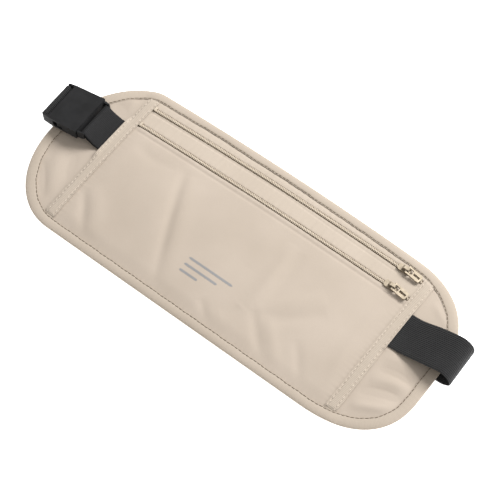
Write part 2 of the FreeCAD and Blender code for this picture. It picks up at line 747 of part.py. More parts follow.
def build_adjuster():
    """Three-bar slide, and the strap's end sewn round its middle bar."""
    body = new_body("adjuster_body")
    plan = new_sketch(body, "adjuster_plan", "XY_Plane")
    half_x, half_y = "Params.adjuster_length / 2", "Params.adjuster_width / 2"
    rectangle(plan, f"-{half_x}", half_x, f"-{half_y}", half_y)
    pad(body, plan, "Params.adjuster_thickness")
    round_upright_edges(body, "adjuster_corners", "2.5", lambda x, y: True)
    opening = new_sketch(body, "adjuster_opening", "XY_Plane")
    strap_half = "(Params.strap_width / 2 + 0.4)"
    rectangle(opening, f"2 - {half_x}", f"{half_x} - 2", f"-{strap_half}", strap_half)
    pocket(body, opening, "4")
    bar = new_sketch(body, "adjuster_bar", "XY_Plane")
    rectangle(bar, "-1.2", "1.2", f"-{strap_half} - 1", f"{strap_half} + 1")
    pad(body, bar, "Params.adjuster_bar_thickness")
    middle = size("adjuster_base_z") + size("adjuster_thickness") / 2
    skew = math.radians(size("strap_skew"))
    line_y = size("strap_y") + size("adjuster_x") * math.sin(skew)
    place = FreeCAD.Placement(vec(size("adjuster_x") * math.cos(skew), line_y, middle),
                              FreeCAD.Rotation(vec(0, 0, 1), size("strap_skew")))
    body.Placement = place
    node(body, "strap_adjuster")

    fold = new_body("strap_end")
    side = new_sketch(fold, "strap_end_side", "XZ_Plane")
    half_height = "(Params.adjuster_thickness / 2 - 0.05)"
    rectangle(side, "-2.1", "2.1", f"-{half_height}", half_height)
    pad(fold, side, "Params.strap_width")
    space = new_sketch(fold, "strap_end_space", "XZ_Plane")
    half_bar = "(Params.adjuster_bar_thickness / 2 + 0.02)"
    rectangle(space, "-1.3", "1.3", f"-{half_bar}", half_bar)
    pocket(fold, space, "Params.strap_width + 2")
    fold.Placement = place
    node(fold, "strap_end_fold")


build_inner_panels()
build_binding()
build_front()
for zip_name in ("upper", "lower"):
    build_zip(zip_name)
build_socket()
build_male()
build_prong("buckle_prong_top", 1)
build_prong("buckle_prong_bottom", -1)
build_tab()
build_strap()
build_strap_return()
build_adjuster()
doc.recompute()

for item in doc.Objects:
    if "Invalid" in item.State or "Error" in item.State:
        raise RuntimeError(f"{item.Name} did not compute: {item.State}")
whole_box = FreeCAD.BoundBox()
for item in NODES:
    if item.Shape.isNull() or not item.Shape.isValid():
        raise RuntimeError(f"{item.Label} has no valid shape")
    item.Shape.exportStep(f"parts/{item.Label}.step")
    whole_box.add(item.Shape.BoundBox)
    print(f"{item.Label:24s} {len(item.Shape.Solids)} solid(s), {item.Shape.Volume:9.1f} mm3")
print(f"{len(NODES)} nodes, box {whole_box}")
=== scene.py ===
import math

import bmesh
import bpy
import numpy as np
from mathutils import Matrix, Vector


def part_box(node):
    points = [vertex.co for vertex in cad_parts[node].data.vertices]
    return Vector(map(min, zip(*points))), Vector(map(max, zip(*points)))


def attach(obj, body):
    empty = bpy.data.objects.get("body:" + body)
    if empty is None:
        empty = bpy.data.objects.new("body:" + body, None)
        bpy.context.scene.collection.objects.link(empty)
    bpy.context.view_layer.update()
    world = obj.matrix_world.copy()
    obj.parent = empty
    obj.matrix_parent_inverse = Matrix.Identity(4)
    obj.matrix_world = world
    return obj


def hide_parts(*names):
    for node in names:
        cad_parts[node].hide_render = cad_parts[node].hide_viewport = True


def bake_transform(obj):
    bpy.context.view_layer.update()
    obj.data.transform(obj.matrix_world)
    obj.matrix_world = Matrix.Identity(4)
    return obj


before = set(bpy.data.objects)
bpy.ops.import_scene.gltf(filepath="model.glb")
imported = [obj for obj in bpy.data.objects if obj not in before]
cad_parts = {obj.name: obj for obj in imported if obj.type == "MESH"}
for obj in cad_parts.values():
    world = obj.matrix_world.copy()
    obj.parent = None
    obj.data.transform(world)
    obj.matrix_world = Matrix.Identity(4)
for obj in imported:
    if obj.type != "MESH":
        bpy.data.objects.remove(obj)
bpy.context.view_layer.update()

# All shapes below are worked out in millimetres in the frame of the CAD model and scaled
# to metres when a mesh is made. x runs along the pouch, y across it towards the zips.
MM = 0.001
rng = np.random.RandomState(7)

# ------------------------------------------------------------------ sizes from the frame
binding_low, binding_high = (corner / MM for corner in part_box("edge_binding"))
CENTRE_X = (binding_low.x + binding_high.x) / 2 - 0.5     # a little nearer the buckle
HALF_LENGTH = (binding_high.x - binding_low.x) / 2
HALF_WIDTH = -binding_low.y
TOP_BOW = 4.4       # how far the edge by the zips bows out between its ends
ARCH_RISE = 3.0
ARCH_RADIUS = (HALF_WIDTH ** 2 + ARCH_RISE ** 2) / (2 * ARCH_RISE)
# each corner of the outline, as (length along x, length along y, squareness)
CORNERS = {(-1, 1): (40, 57, 1.8), (1, 1): (51, 50, 2.3),
           (-1, -1): (42, 54, 2.1), (1, -1): (54, 42, 2.4)}

BAND_WIDTH = 7.4
BAND_X = {side: (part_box(side + "_band")[0].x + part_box(side + "_band")[1].x) / 2 / MM
          for side in ("left", "right")}
STRAP_Y = 10.9
STRAP_SKEW = math.tan(math.radians(0.5))
STRAP_HALF = 12.5

ZIP_MIDDLE_X = -1.2
ZIP_Y = {"upper": 44.85, "lower": 30.75}
ZIP_BOW = {"upper": 1.6, "lower": 1.1}
ZIP_TILT = math.tan(math.radians(0.7))
SLIDER_X = 87.4
GAP = 1.6           # from a zip's seam to the folded edge of the cloth below it
FLAP = 1.5          # and to that of the cloth above it
COIL_FROM, COIL_TO = -98.4, 98.5

TAB_HALF = 12.5
BUCKLE_X, BUCKLE_Z = -124.76, 11.3
BUCKLE_PITCH = math.radians(8.0)
BUCKLE_YAW = math.radians(3.5)
BUCKLE_ROLL = math.radians(4.0)     # the buckle's far side hangs a little lower
SOCKET_BAR, SOCKET_BAR_RADIUS = (-22.4, 0.9), 1.1       # (x, z) in the buckle's own frame
MALE_BAR, MALE_BAR_RADIUS = (7.1, 0.0), 1.0
BAR_BACK = -SOCKET_BAR[0] * math.cos(BUCKLE_PITCH)
BUCKLE_Y = STRAP_Y + (BUCKLE_X - BAR_BACK) * STRAP_SKEW + BAR_BACK * math.sin(BUCKLE_YAW)
BUCKLE_AXIS = Vector((math.cos(BUCKLE_PITCH) * math.cos(BUCKLE_YAW),
                      math.cos(BUCKLE_PITCH) * math.sin(BUCKLE_YAW), math.sin(BUCKLE_PITCH)))


def arch(y):
    """Height of the pouch's underside above the table."""
    return np.sqrt(ARCH_RADIUS ** 2 - np.square(y)) - ARCH_RADIUS + ARCH_RISE


def smooth(value, start, end):
    """0 before start, 1 after end, eased between them."""
    t = np.clip((np.asarray(value, float) - start) / (end - start), 0, 1)
    return t * t * (3 - 2 * t)


def bow(x):
    return TOP_BOW * (1 - np.square((x - CENTRE_X) / HALF_LENGTH))


def edge_y(x, side, inset):
    """Where the pouch's outline, moved inwards by inset, crosses this x. side is +1 or -1."""
    along = np.abs(np.asarray(x, float) - CENTRE_X)
    left = np.asarray(x) < CENTRE_X
    size_x, size_y, power = (np.where(left, a, b)
                             for a, b in zip(CORNERS[-1, side], CORNERS[1, side]))
    reach = np.clip((along - HALF_LENGTH + size_x) / (size_x - inset), 0, 1)
    corner = (size_y - inset) * (1 - (1 - reach ** power) ** (1 / power))
    if side < 0:
        return -HALF_WIDTH + inset + corner
    return HALF_WIDTH - TOP_BOW - inset - corner + bow(x) * smooth(-corner / size_y, -1, 0)


def outline(step):
    """Points of the outline, evenly spaced, with the inward direction at each."""
    turn = np.linspace(0, math.pi / 2, 160)
    points = []
    for side_x, side_y in ((1, 1), (-1, 1), (-1, -1), (1, -1)):
        size_x, size_y, power = CORNERS[side_x, side_y]
        reach = np.cos(turn) ** (2 / power)
        drop = np.sin(turn) ** (2 / power)
        x = side_x * (HALF_LENGTH - size_x + size_x * reach)
        y = size_y * drop - size_y
        y = (y + HALF_WIDTH - TOP_BOW) if side_y > 0 else -(y + HALF_WIDTH)
        if side_y > 0:
            y = y + bow(x + CENTRE_X) * smooth(drop, 0, 1)
        order = slice(None) if side_x * side_y > 0 else slice(None, None, -1)
        points.append(np.stack([x[order] + CENTRE_X, y[order]], 1))
    line = np.concatenate(points + [points[0][:1]])
    keep = np.concatenate([[True], np.linalg.norm(np.diff(line, axis=0), axis=1) > 1e-4])
    line = line[keep]
    # long straight stretches get points of their own, so that the top edge keeps its bow
    dense = []
    for a, b in zip(line, line[1:]):
        count = max(1, int(np.linalg.norm(b - a) / 2))
        for i in range(count):
            p = a + (b - a) * i / count
            if count > 4 and p[1] > 0 and abs(b[0] - a[0]) > abs(b[1] - a[1]):
                p = np.array([p[0], HALF_WIDTH - TOP_BOW + bow(p[0])])
            dense.append(p)
    dense.append(line[-1])
    line = np.array(dense)
    lengths = np.concatenate([[0], np.cumsum(np.linalg.norm(np.diff(line, axis=0), axis=1))])
    count = int(lengths[-1] / step)
    at = np.arange(count) * lengths[-1] / count
    even = np.stack([np.interp(at, lengths, line[:, k]) for k in (0, 1)], 1)
    tangent = np.roll(even, -1, 0) - np.roll(even, 1, 0)
    tangent /= np.linalg.norm(tangent, axis=1)[:, None]
    inward = np.stack([-tangent[:, 1], tangent[:, 0]], 1)
    return even, inward, at, lengths[-1]


def zip_y(which, x):
    """The line of a zip's seam: tilted, and bowed a little between its two ends."""
    along = np.asarray(x, float) - ZIP_MIDDLE_X
    return ZIP_Y[which] + ZIP_TILT * along + ZIP_BOW[which] * (1 - np.square(along / SLIDER_X))


# ------------------------------------------------------------------ mesh helpers

def make_piece(name, vertices, faces, material, body, replaced=(), slot=None, uv=None,
               smooth_angle=40.0):
    """A mesh piece from points in millimetres, riding on a CAD body."""
    mesh = bpy.data.meshes.new(name)
    mesh.from_pydata((np.asarray(vertices, float) * MM).tolist(), [], faces)
    if uv is not None:
        layer = mesh.uv_layers.new(name="cloth")
        index = np.empty(len(mesh.loops), int)
        mesh.loops.foreach_get("vertex_index", index)
        layer.data.foreach_set("uv", np.asarray(uv, float)[index].ravel())
    mesh.validate()
    mesh.materials.append(material)
    piece = bpy.data.objects.new(name, mesh)
    bpy.context.scene.collection.objects.link(piece)
    mesh.polygons.foreach_set("use_smooth", [True] * len(mesh.polygons))
    mesh.set_sharp_from_angle(angle=math.radians(smooth_angle))
    if body:
        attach(piece, body)
    if replaced:
        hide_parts(*replaced)
    return piece


def grid_faces(rows, columns, first=0, flip=False, wrap_rows=False, wrap_columns=False):
    """Quads of a grid of points numbered row by row."""
    faces = []
    for i in range(rows if wrap_rows else rows - 1):
        for j in range(columns if wrap_columns else columns - 1):
            a = first + i * columns + j
            b = first + ((i + 1) % rows) * columns + j
            c = first + ((i + 1) % rows) * columns + (j + 1) % columns
            d = first + i * columns + (j + 1) % columns
            faces.append((a, d, c, b) if flip else (a, b, c, d))
    return faces


def tube_faces(rows, ring, first=0, flip=False):
    """A tube of rings of points, closed at both ends."""
    last = first + (rows - 1) * ring
    sides = grid_faces(rows, ring, first=first, flip=flip, wrap_columns=True)
    return sides + [tuple(range(first, first + ring)), tuple(range(last + ring - 1, last - 1, -1))]


def cloth_panel(name, xs, low, high, across, height, thickness, material, **about):
    """A closed sheet of cloth over a region of the pouch, riding on it.

    low and high give its edges at each x, and height its top surface above the arch.
    """
    share = np.linspace(0, 1, across)
    X = np.repeat(xs[:, None], across, 1)
    Y = low(xs)[:, None] * (1 - share) + high(xs)[:, None] * share
    top = arch(Y) + height(X, Y)
    rows, columns = X.shape
    upper = np.stack([X, Y, top], -1).reshape(-1, 3)
    lower = np.stack([X, Y, top - thickness], -1).reshape(-1, 3)
    faces = grid_faces(rows, columns)
    faces += grid_faces(rows, columns, first=rows * columns, flip=True)
    under = rows * columns
    rim = [i * columns for i in range(rows)]
    rim += [(rows - 1) * columns + j for j in range(1, columns)]
    rim += [i * columns + columns - 1 for i in range(rows - 2, -1, -1)]
    rim += list(range(columns - 2, 0, -1))
    for a, b in zip(rim, rim[1:] + rim[:1]):
        faces.append((b, a, a + under, b + under))
    return make_piece(name, np.concatenate([upper, lower]), faces, material, "pouch", **about)


def threads(name, runs, length, radius, material):
    """Stitches sewn to the pouch: short rounded threads along runs of (point, direction, up)."""
    ring = 6
    turn = np.arange(ring) * 2 * math.pi / ring
    stations = ((-0.5, 0.35, -0.6), (-0.36, 0.9, 0.1), (0.0, 1.0, 0.45), (0.36, 0.9, 0.1),
                (0.5, 0.35, -0.6))
    vertices, faces = [], []
    for points, directions, ups in runs:
        for point, direction, up in zip(points, directions, ups):
            side = np.cross(up, direction)
            side /= np.linalg.norm(side)
            first = len(vertices)
            for along, thick, lift in stations:
                middle = point + direction * length * along + up * radius * lift
                for angle in turn:
                    vertices.append(middle + radius * thick
                                    * (side * math.cos(angle) + up * math.sin(angle)))
            faces += tube_faces(len(stations), ring, first, flip=True)
    return make_piece(name, vertices, faces, material, "pouch", smooth_angle=80)


def stitch_run(points, spacing):
    """Evenly spaced stitch places along a line of 3-D points, for threads()."""
    points = np.asarray(points, float)
    lengths = np.concatenate([[0], np.cumsum(np.linalg.norm(np.diff(points, axis=0), axis=1))])
    count = max(2, int(lengths[-1] / spacing))
    at = (np.arange(count) + 0.5) * lengths[-1] / count

    def reached(where):
        return np.stack([np.interp(where, lengths, points[:, k]) for k in range(3)], 1)

    direction = reached(at + 0.3) - reached(at - 0.3)
    direction /= np.linalg.norm(direction, axis=1)[:, None]
    return reached(at), direction, np.repeat([[0.0, 0.0, 1.0]], count, 0)


# ------------------------------------------------------------------ materials

class Shader:
    """A node material under construction."""

    def __init__(self, name):
        self.material = bpy.data.materials.new(name)
        self.material.use_nodes = True
        self.tree = self.material.node_tree
        self.bsdf = self.tree.nodes["Principled BSDF"]

    def node(self, kind, settings=None, **inputs):
        made = self.tree.nodes.new(kind)
        for key, value in (settings or {}).items():
            setattr(made, key, value)
        for key, value in inputs.items():
            socket = made.inputs[int(key[1:])] if key[0] == "i" and key[1:].isdigit() else made.inputs[key]
            self.feed(socket, value)
        return made

    def feed(self, socket, value):
        if isinstance(value, bpy.types.NodeSocket):
            self.tree.links.new(value, socket)
        else:
            socket.default_value = value

    def set(self, **values):
        for key, value in values.items():
            self.feed(self.bsdf.inputs[key.replace("_", " ")], value)

    def place(self, uv=False):
        """Millimetre coordinates, of the frame or of the cloth's own layout."""
        if uv:
            return self.node("ShaderNodeUVMap", {"uv_map": "cloth"}).outputs[0]
        source = self.node("ShaderNodeTexCoord").outputs["Object"]
        return self.node("ShaderNodeMapping", Vector=source, Scale=[1 / MM] * 3).outputs[0]

    def math(self, operation, a, b):
        return self.node("ShaderNodeMath", {"operation": operation}, i0=a, i1=b).outputs[0]

    def noise(self, vector, scale, detail=2.0, roughness=0.5):
        return self.node("ShaderNodeTexNoise", Vector=vector, Scale=scale, Detail=detail,
                         Roughness=roughness).outputs["Fac"]

    def bands(self, vector, period, direction, distortion=0.0):
        """Smooth bands that repeat every period."""
        return self.node("ShaderNodeTexWave", {"bands_direction": direction, "wave_profile": "SIN"},
                         Vector=vector, Scale=math.pi / 10 / period, Distortion=distortion,
                         Detail=1.0).outputs["Fac"]

    def ramp(self, factor, stops):
        made = self.node("ShaderNodeValToRGB", Fac=factor)
        elements = made.color_ramp.elements
        while len(elements) < len(stops):
            elements.new(0.5)
        for element, (position, colour) in zip(elements, stops):
            element.position = position
            element.color = (*colour, 1.0)
        return made.outputs["Color"]

    def blend(self, factor, a, b):
        """From socket a to the colour b."""
        return self.node("ShaderNodeMix", {"data_type": "RGBA"}, i0=factor, i6=a,
                         i7=(*b, 1.0)).outputs[2]

    def bump(self, height, strength, distance, base=None):
        made = self.node("ShaderNodeBump", Height=height, Strength=strength, Distance=distance)
        if base is not None:
            self.feed(made.inputs["Normal"], base)
        return made.outputs["Normal"]


def woven(name, dark, light, thread, uv=False, relief=0.12, roughness=0.78, sheen=0.18,
          rib=None, rib_relief=0.2):
    """Plain-weave cloth. thread is the thread's pitch in mm; rib is (pitch, direction)."""
    shader = Shader(name)
    place = shader.place(uv)
    warp = shader.bands(place, thread, "X", 0.4)
    weft = shader.bands(place, thread, "Y", 0.4)
    weave = shader.math("MULTIPLY", warp, weft)
    slub = shader.noise(place, 1.7, 3.0, 0.6)
    patches = shader.noise(place, 0.02, 3.0, 0.55)
    tone = shader.math("ADD", shader.math("MULTIPLY", patches, 0.62),
                       shader.math("MULTIPLY", slub, 0.22))
    tone = shader.math("ADD", tone, shader.math("MULTIPLY", weave, 0.26))
    colour = shader.ramp(tone, [(0.25, dark), (0.75, light)])
    height = shader.math("ADD", weave, shader.math("MULTIPLY", slub, 0.35))
    normal = shader.bump(height, relief, 0.0002)
    if rib:
        ribs = shader.bands(place, rib[0], rib[1], 0.25)
        normal = shader.bump(ribs, rib_relief, 0.0003, normal)
        colour = shader.blend(shader.math("MULTIPLY", shader.math("SUBTRACT", 1.0, ribs), 0.22),
                              colour, tuple(0.7 * c for c in dark))
    shader.set(Base_Color=colour, Roughness=roughness, Normal=normal)
    shader.set(Sheen_Weight=sheen, Sheen_Roughness=0.5)
    shader.bsdf.inputs["Specular IOR Level"].default_value = 0.25
    return shader.material


def moulded(name, dark, light, roughness):
    """Moulded plastic: fine spark-eroded grain and soft tone changes."""
    shader = Shader(name)
    place = shader.place()
    fine = shader.noise(place, 3.2, 2.0, 0.6)
    broad = shader.noise(place, 0.09, 3.0, 0.5)
    colour = shader.ramp(broad, [(0.3, dark), (0.7, light)])
    rough = shader.math("ADD", roughness - 0.06, shader.math("MULTIPLY", fine, 0.14))
    shader.set(Base_Color=colour, Roughness=rough,
               Normal=shader.bump(fine, 0.15, 0.00008))
    shader.bsdf.inputs["Specular IOR Level"].default_value = 0.09
    return shader.material


def plated(name, dark, light, roughness):
    """Plated cast metal with faint pitting, with painted shade darkening its corners."""
    shader = Shader(name)
    place = shader.place()
    pits = shader.noise(place, 2.6, 4.0, 0.6)
    broad = shader.noise(place, 0.35, 2.0, 0.5)
    colour = shader.ramp(broad, [(0.3, dark), (0.7, light)])
    # painted shade: where the surface is hollow the colour darkens towards a third of the dark tone
    hollow_shade = shader.node("ShaderNodeNewGeometry").outputs["Pointiness"]
    colour = shader.blend(shader.ramp(hollow_shade, [(0.40, (1, 1, 1)), (0.50, (0, 0, 0))]), colour,
                          tuple(0.3 * c for c in dark))
    rough = shader.math("ADD", roughness - 0.08, shader.math("MULTIPLY", pits, 0.18))
    shader.set(Base_Color=colour, Metallic=0.7, Roughness=rough,
               Normal=shader.bump(pits, 0.25, 0.00006))
    return shader.material


def filament(name, dark, light, roughness):
    """Drawn nylon or sewing thread, with a fine twist."""
    shader = Shader(name)
    place = shader.place()
    twist = shader.node("ShaderNodeTexWave", {"bands_direction": "DIAGONAL"}, Vector=place,
                        Scale=0.9, Distortion=0.6).outputs["Fac"]
    tone = shader.math("ADD", shader.math("MULTIPLY", twist, 0.4),
                       shader.math("MULTIPLY", shader.noise(place, 0.3, 2.0), 0.6))
    colour = shader.ramp(tone, [(0.3, dark), (0.7, light)])
    shader.set(Base_Color=colour, Roughness=roughness, Normal=shader.bump(twist, 0.3, 0.0001))
    shader.bsdf.inputs["Specular IOR Level"].default_value = 0.35
    return shader.material


FABRIC = woven("pouch_nylon", (0.44, 0.37, 0.30), (0.54, 0.46, 0.385), 0.42)
# painted light: a slightly lighter copy of the pouch nylon, for the strips between and above the zips
FABRIC_LIT_COPY = woven("strip_nylon_painted_light", (0.455, 0.385, 0.31), (0.555, 0.475, 0.395), 0.42)
LINING = woven("lining", (0.45, 0.385, 0.31), (0.54, 0.47, 0.39), 0.6)
TAPE = woven("binding_grosgrain", (0.45, 0.38, 0.305), (0.55, 0.47, 0.39), 0.5, uv=True,
             rib=(0.9, "X"), rib_relief=0.15, relief=0.1)
BAND_TAPE = woven("band_grosgrain", (0.45, 0.38, 0.305), (0.56, 0.48, 0.40), 0.5,
                  rib=(0.9, "Y"), rib_relief=0.35)
# painted shade: the zip tape is dark brown so that the narrow gaps beside the coil show as the shade under
# the cloth's folded edges
ZIP_TAPE_PAINTED_SHADE = woven("zip_tape", (0.17, 0.12, 0.075), (0.25, 0.185, 0.12), 0.6, relief=0.2, sheen=0.05)
WEBBING = woven("black_webbing", (0.009, 0.009, 0.0095), (0.021, 0.021, 0.022), 0.8, uv=True,
                rib=(1.1, "Y"), rib_relief=0.3, relief=0.35, roughness=0.75, sheen=0.04)
ELASTIC = woven("black_elastic", (0.011, 0.011, 0.0115), (0.030, 0.030, 0.0305), 0.7, uv=True,
                rib=(1.1, "Y"), rib_relief=1.0, relief=0.5, roughness=0.75, sheen=0.08)
PLASTIC = moulded("buckle_plastic", (0.019, 0.019, 0.0195), (0.027, 0.027, 0.028), 0.52)
METAL = plated("champagne_metal", (0.30, 0.25, 0.185), (0.39, 0.33, 0.25), 0.52)
COIL = filament("nylon_coil", (0.50, 0.42, 0.325), (0.64, 0.55, 0.44), 0.5)
# painted shade: the edge stitches are dark brown so that they also stand for the shadow line along the
# edge tape's inner border
THREAD_AND_PAINTED_SHADE = filament("dark_thread_painted_shade", (0.13, 0.10, 0.07), (0.20, 0.155, 0.11), 0.6)
PALE_THREAD = filament("pale_thread", (0.52, 0.45, 0.37), (0.66, 0.58, 0.49), 0.55)
PRINT = woven("grey_print", (0.24, 0.235, 0.235), (0.33, 0.325, 0.325), 0.42, roughness=0.5, sheen=0.0)


# ------------------------------------------------------------------ how the cloth lies

FOLD_OFFSET = (0.8, -2.25)      # from the point that the folds' places are measured from
FOLD_SCALE = 1.35               # how much deeper the folds are than the heights listed


def fold(X, Y, start, middle, end, width, height):
    """A soft ridge (or valley, where height is below 0) along a curve through three points."""
    t = np.linspace(0, 1, 25)
    p0, p1, p2 = (np.array(p, float) + FOLD_OFFSET for p in (start, middle, end))
    control = 2 * p1 - (p0 + p2) / 2
    line = ((1 - t) ** 2)[:, None] * p0 + (2 * t * (1 - t))[:, None] * control + (t ** 2)[:, None] * p2
    nearest = np.full(X.shape, 1e9)
    share = np.zeros(X.shape)
    for value, (px, py), (run_x, run_y) in zip(t, line, np.diff(line, axis=0)):
        part = ((X - px) * run_x + (Y - py) * run_y) / (run_x ** 2 + run_y ** 2)
        part = np.clip(part, 0, 1)
        distance = (X - px - run_x * part) ** 2 + (Y - py - run_y * part) ** 2
        closer = distance < nearest
        nearest = np.where(closer, distance, nearest)
        share = np.where(closer, value + part * t[1], share)
    taper = np.clip(np.sin(np.pi * np.clip(share, 0, 1)), 0, 1) ** 0.7
    return height * np.exp(-nearest / width ** 2) * taper


WAVES = [(rng.uniform(0.045, 0.16), rng.uniform(0, 2 * math.pi), rng.uniform(0, 2 * math.pi))
         for _ in range(14)]


def swell(X, Y, amount):
    """Slow uneven waves, as in cloth that has been folded and laid down."""
    total = np.zeros(X.shape)
    for rate, heading, phase in WAVES:
        total += np.sin(rate * (X * math.cos(heading) + Y * math.sin(heading)) + phase) * 0.06 / rate
    return amount * total / len(WAVES)


def pucker(along, distance, pitch, depth, reach, seed):
    """Small gathers that a row of stitches pulls into the cloth beside it."""
    local = np.random.RandomState(seed)
    a, b = local.uniform(0, 6.28, 2)
    wave = np.sin(2 * math.pi * along / pitch + a + 0.9 * np.sin(along / 7.0 + b))
    wave += 0.6 * np.sin(2 * math.pi * along / (pitch * 1.9) + b)
    return depth * wave * np.exp(-np.clip(distance, 0, None) / reach)


# Folds of the front panel: start, middle, end, width, height.
FRONT_FOLDS = [
    ((-57, 24), (-45, -6), (-25, -48), 3.2, -0.62),
    ((-50, 22), (-37, -8), (-18, -46), 6.0, 0.42),
    ((-64, 18), (-54, -10), (-36, -46), 7.0, 0.30),
    ((-98, -23), (-89, -34), (-79, -49), 3.0, -0.50),
    ((-94, -18), (-83, -30), (-72, -47), 5.0, 0.35),
    ((25, 22), (27, -4), (27, -27), 4.2, 0.42),
    ((33, 20), (35, -2), (32, -22), 4.0, -0.30),
    ((24, -29), (22, -34), (18, -40), 3.8, -0.26),
    ((60, 6), (48, -8), (31, -24), 4.6, 0.34),
    ((66, -2), (54, -16), (38, -27), 4.2, -0.42),
    ((31, -26), (41, -36), (54, -49), 3.2, -0.40),
    ((40, -24), (52, -35), (64, -48), 4.0, 0.34),
    ((62, -26), (71, -36), (80, -48), 3.0, -0.30),
    ((92, 20), (88, -6), (93, -40), 4.0, 0.28),
    ((-90, 22), (-80, 17), (-62, 20), 4.0, -0.28),
    ((2, -38), (8, -43), (16, -50), 2.8, -0.30),
    ((-6, 20), (10, 12), (14, -6), 7.0, 0.22),
]

# Folds of the cloth that shows at the two rounded ends.
END_FOLDS = [
    ((108, -31), (119, -24), (136, -20), 2.4, -0.75),
    ((109, -39), (121, -33), (134, -25), 3.0, 0.75),
    ((110, -21), (122, -15), (137, -14), 3.2, 0.62),
    ((108, -13), (122, -9), (137, -11), 2.4, -0.42),
    ((108, -5), (122, -1), (137, -6), 3.4, 0.40),
    ((110, -46), (121, -42), (130, -34), 2.2, -0.40),
    ((112, 42), (118, 38), (128, 33), 3.0, 0.35),
    ((-128, -6), (-121, -22), (-110, -38), 4.2, 0.45),
    ((-131, -22), (-122, -33), (-113, -44), 2.6, -0.42),
    ((-118, -6), (-113, -18), (-108, -27), 3.0, -0.35),
    ((-121, 34), (-114, 33), (-108, 31), 2.6, -0.60),
    ((-122, 41), (-114, 42), (-108, 40), 3.0, 0.35),
]


def binding_width(x):
    """The edge tape shows a little wider round the ends than along the sides."""
    return 6.2 + 0.8 * smooth(np.abs(np.asarray(x, float) - CENTRE_X), 96, 124)


def lip_height(x):
    """Top of the edge tape above the arch: higher where it also covers the pocket's layers."""
    return 2.55 - 0.75 * smooth(np.abs(np.asarray(x, float) - CENTRE_X), 103, 113)


def rim_distance(X, Y):
    """Roughly how far a point is inside the edge tape's inner border."""
    width = binding_width(X)
    top = edge_y(X, 1, 0) - width - Y
    bottom = Y - edge_y(X, -1, 0) - width
    ends = HALF_LENGTH - np.abs(X - CENTRE_X) - width
    return np.minimum(np.minimum(top, bottom), ends)


def base_height(X, Y):
    """The cloth behind the pockets, which shows at the rounded ends."""
    height = 1.25 + swell(X, Y, 0.5)
    for values in END_FOLDS:
        height += FOLD_SCALE * fold(X, Y, *values)
    inside = rim_distance(X, Y)
    height += pucker(Y, inside, 3.4, 0.05, 2.2, 3)
    shown = smooth(np.abs(X - CENTRE_X), 106.8, 113)
    lifted = 0.25 + smooth(inside, -1, 7) * 0.75
    result = 1.15 + (height - 1.15) * shown * lifted
    return np.clip(result, 0.95, 3.2)


def front_height(X, Y):
    """The pocket's front: held down by the edge tape and bands, loose between them."""
    loose = smooth(rim_distance(X, Y), -0.5, 9)
    sides = smooth(X - BAND_X["left"], 0, 11) * smooth(BAND_X["right"] - X, 0, 11)
    seam = zip_y("lower", X) - GAP - Y
    held = loose * (0.35 + 0.65 * sides)
    height = 1.75 + 0.55 * held + swell(X, Y, 1.0) * (0.3 + 0.7 * held)
    for values in FRONT_FOLDS:
        height += FOLD_SCALE * fold(X, Y, *values) * (0.25 + 0.75 * held)
    # the turned hem beside the zip, and the crease below it
    height += 0.14 * smooth(seam, 0.0, 0.5) * (1 - smooth(seam, 2.0, 3.4))
    height -= 0.30 * np.exp(-np.square((seam - 3.2) / 0.7))
    height += pucker(X, seam, 4.6, 0.07, 2.5, 5)
    height += pucker(X, rim_distance(X, Y), 3.4, 0.07, 2.2, 11)
    edge = np.minimum(X - BAND_X["left"], BAND_X["right"] - X) - 3.2
    height += pucker(Y, edge, 3.2, 0.08, 2.2, 13)
    return np.maximum(height, 1.5)


def strip_height(lower_zip, upper_zip, seed):
    """Height of a narrow strip of cloth between two zips, or between a zip and the edge tape."""
    def height(X, Y):
        below = Y - zip_y(lower_zip, X) - FLAP
        result = 2.15 + swell(X, Y, 0.35) + pucker(X, below, 3.9, 0.10, 3.5, seed)
        result -= 0.22 * np.exp(-np.square((below - 0.1) / 0.25))
        if upper_zip:
            above = zip_y(upper_zip, X) - GAP - Y
            result += pucker(X, above, 3.1, 0.10, 3.0, seed + 1)
            crease = 0.18 + 0.12 * smooth(-X, 20, 90)
            place = 1.2 + 1.3 * smooth(X, 0, 40)
            result -= crease * np.exp(-np.square((above - place) / 0.6))
        else:
            result -= 0.45 * smooth(-rim_distance(X, Y), -2.0, 1.0)
        return result
    return height


